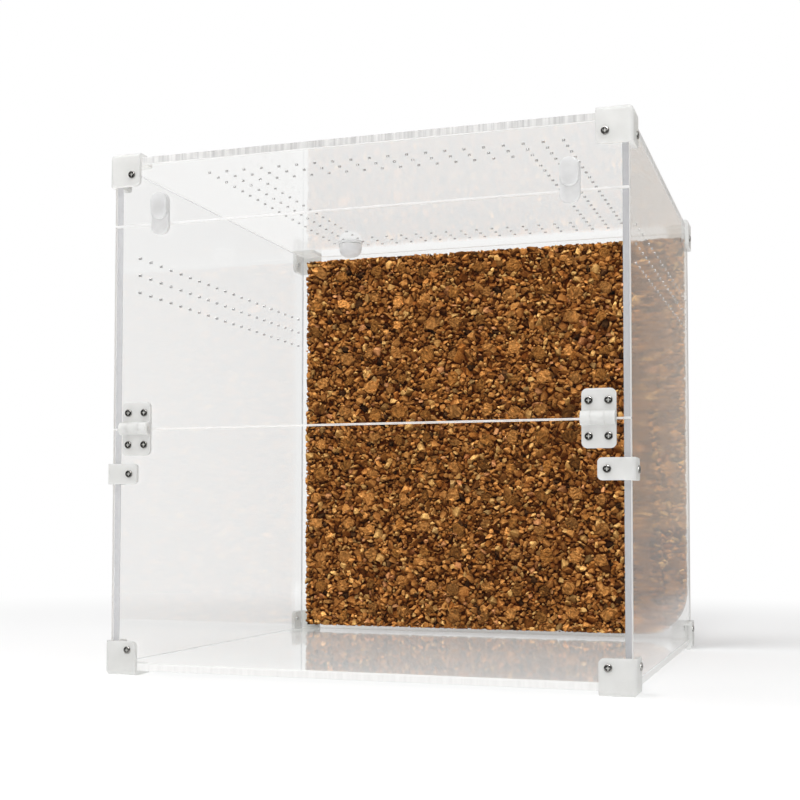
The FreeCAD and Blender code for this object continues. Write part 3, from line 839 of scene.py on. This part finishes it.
def dress_fittings():
    """Brackets, clips, hinges, turn buttons, plug, screws and pins."""
    names = sorted(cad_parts)
    white = moulded_plastic("white_plastic", *WHITE_PLASTIC)
    dress([n for n in names if n.startswith(("bracket_front", "bracket_back", "side_clip"))], white, AIR_FILM)
    dress([n for n in names if n.startswith("hinge_") and "leaf" in n], white)
    dress(["latch_left", "latch_right"], moulded_plastic("milky_plastic", *MILKY_PLASTIC))
    dress(["bracket_screws", "clip_screws"], steel("plate_screw_steel", *SCREW_STEEL, PLATE_HEADS))
    dress(["hinge_base_screws", "hinge_door_screws"], steel("hinge_screw_steel", *SCREW_STEEL, HINGE_HEADS))
    pins = [n for n in names if "pivot" in n or n.startswith("hinge_pin")]
    dress(pins, steel("pin_steel", *PIN_STEEL))
    dress(["port_plug"], moulded_plastic("soft_plug", *SOFT_PLUG))


# ---------------------------------------------------------------- studio

def camera_turn():
    """The camera's rotation from its yaw, pitch and roll."""
    ahead = Vector((
        math.sin(CAMERA_YAW) * math.cos(CAMERA_PITCH),
        math.cos(CAMERA_YAW) * math.cos(CAMERA_PITCH),
        math.sin(CAMERA_PITCH),
    ))
    level = ahead.cross(Vector((0, 0, 1))).normalized()
    upright = level.cross(ahead)
    right = level * math.cos(CAMERA_ROLL) + upright * math.sin(CAMERA_ROLL)
    up = upright * math.cos(CAMERA_ROLL) - level * math.sin(CAMERA_ROLL)
    return Matrix((right, up, -ahead)).transposed().to_euler()


def set_camera():
    """The camera at the photograph's place, looking the same way."""
    data = bpy.data.cameras.new("camera")
    data.sensor_width = CAMERA_SENSOR
    data.lens = CAMERA_LENS
    data.shift_x, data.shift_y = CAMERA_SHIFT
    data.clip_start = CAMERA_NEAREST
    camera = bpy.data.objects.new("camera", data)
    camera.location = CAMERA_PLACE
    camera.rotation_euler = camera_turn()
    bpy.context.collection.objects.link(camera)
    bpy.context.scene.camera = camera


def softbox(name, place, power):
    """A square lamp that faces the object."""
    data = bpy.data.lights.new(name, "AREA")
    data.shape = "SQUARE"
    data.size = LAMP_SIZE
    data.energy = power
    lamp = bpy.data.objects.new(name, data)
    lamp.location = place
    lamp.rotation_euler = (Vector(LAMP_AIM) - Vector(place)).to_track_quat("-Z", "Y").to_euler()
    bpy.context.collection.objects.link(lamp)


def mirrored(tree):
    """1 for a ray that has met a mirroring face on its way, 0 for others."""
    return calculated(tree, "MINIMUM", light_path(tree)["Glossy Depth"], 1.0)


def studio_world():
    """Soft light from all round; a white background, also through glass; a dim room in front to reflect."""
    world = bpy.data.worlds.new("studio")
    world.use_nodes = True
    bpy.context.scene.world = world
    tree = world.node_tree
    way = split(tree, tree.nodes.new("ShaderNodeTexCoord").outputs["Generated"])
    behind = ranged(tree, way["Y"], 0.0, 1.0, *BEHIND_FROM, "SMOOTHSTEP")
    wall = ranged(tree, way["X"], ROOM_BACK, ROOM_RIGHT, *RIGHT_FROM, "SMOOTHSTEP")
    above = ranged(tree, way["Z"], 0.0, ROOM_ABOVE, *ABOVE_FROM, "SMOOTHSTEP")
    room = larger(tree, larger(tree, product(tree, wall, behind), ROOM_FRONT), above)
    path = light_path(tree)
    strength = value_between(tree, mirrored(tree), 1.0, room)
    strength = value_between(tree, path["Is Glossy Ray"], SKY_LIGHT, strength)
    strength = value_between(tree, path["Is Camera Ray"], strength, 1.0)
    tint_in = ranged(tree, way["X"], 0.0, 1.0, *TINT_FROM)
    tint_out = ranged(tree, way["X"], 1.0, 0.0, *TINT_TO)
    warm = product(tree, mirrored(tree), behind, tint_in, tint_out)
    background = tree.nodes["Background"]
    tree.links.new(colour_between(tree, warm, WHITE, ROOM_TINT), background.inputs["Color"])
    tree.links.new(strength, background.inputs["Strength"])


def floor_material():
    """Pale near the object and white further off, and as dim as the room where the clear sheets mirror it."""
    material, tree, shader = new_material("floor")
    fill(tree, shader.inputs["Base Color"], FLOOR_COLOUR)
    shader.inputs["Specular IOR Level"].default_value = 0.0
    tree.links.new(ranged(tree, noise(tree, FLOOR_WAVES), *FLOOR_ROUGHNESS), shader.inputs["Roughness"])
    distance = tree.nodes.new("ShaderNodeVectorMath")
    distance.operation = "LENGTH"
    tree.links.new(place_on_piece(tree), distance.inputs[0])
    far = ranged(tree, distance.outputs["Value"], 0.0, 1.0, *FLOOR_FADE, "SMOOTHSTEP")
    path = light_path(tree)
    viewed = larger(tree, path["Is Camera Ray"], path["Is Glossy Ray"])
    white = coloured(tree, "Emission", WHITE)
    surface = mix_shaders(tree, product(tree, viewed, far), shader.outputs[0], white.outputs[0])
    spot = split(tree, place_on_piece(tree))
    in_front = ranged(tree, spot["Y"], 1.0, 0.0, *FLOOR_FRONT)
    at_right = ranged(tree, spot["X"], 0.0, 1.0, *FLOOR_RIGHT)
    dim = coloured(tree, "Emission", colour_between(tree, in_front, FLOOR_TINT, WHITE))
    tree.links.new(ranged(tree, in_front, ROOM_RIGHT, ROOM_FRONT), dim.inputs["Strength"])
    changed = product(tree, mirrored(tree), larger(tree, in_front, at_right))
    show(tree, mix_shaders(tree, changed, surface, dim.outputs[0]))
    return material


def studio_floor():
    """A pale floor that takes the object's shadow."""
    mesh = bpy.data.meshes.new("floor")
    corners = ((-1, -1), (1, -1), (1, 1), (-1, 1))
    mesh.from_pydata([(x * FLOOR_HALF, y * FLOOR_HALF, 0.0) for x, y in corners], [], [(0, 1, 2, 3)])
    floor = bpy.data.objects.new("floor", mesh)
    bpy.context.collection.objects.link(floor)
    mesh.materials.append(floor_material())


def studio():
    """Camera, world, lamps and floor."""
    set_camera()
    studio_world()
    studio_floor()
    for lamp in LAMPS:
        softbox(*lamp)
    scene = bpy.context.scene
    scene.view_settings.view_transform = "Standard"
    scene.cycles.max_bounces = MAX_BOUNCES
    scene.cycles.transmission_bounces = CLEAR_BOUNCES
    scene.cycles.transparent_max_bounces = CLEAR_BOUNCES
    scene.cycles.glossy_bounces = GLOSSY_BOUNCES
    scene.cycles.diffuse_bounces = DIFFUSE_BOUNCES


studio()
dress_panels()
dress_fittings()
cork_slab()
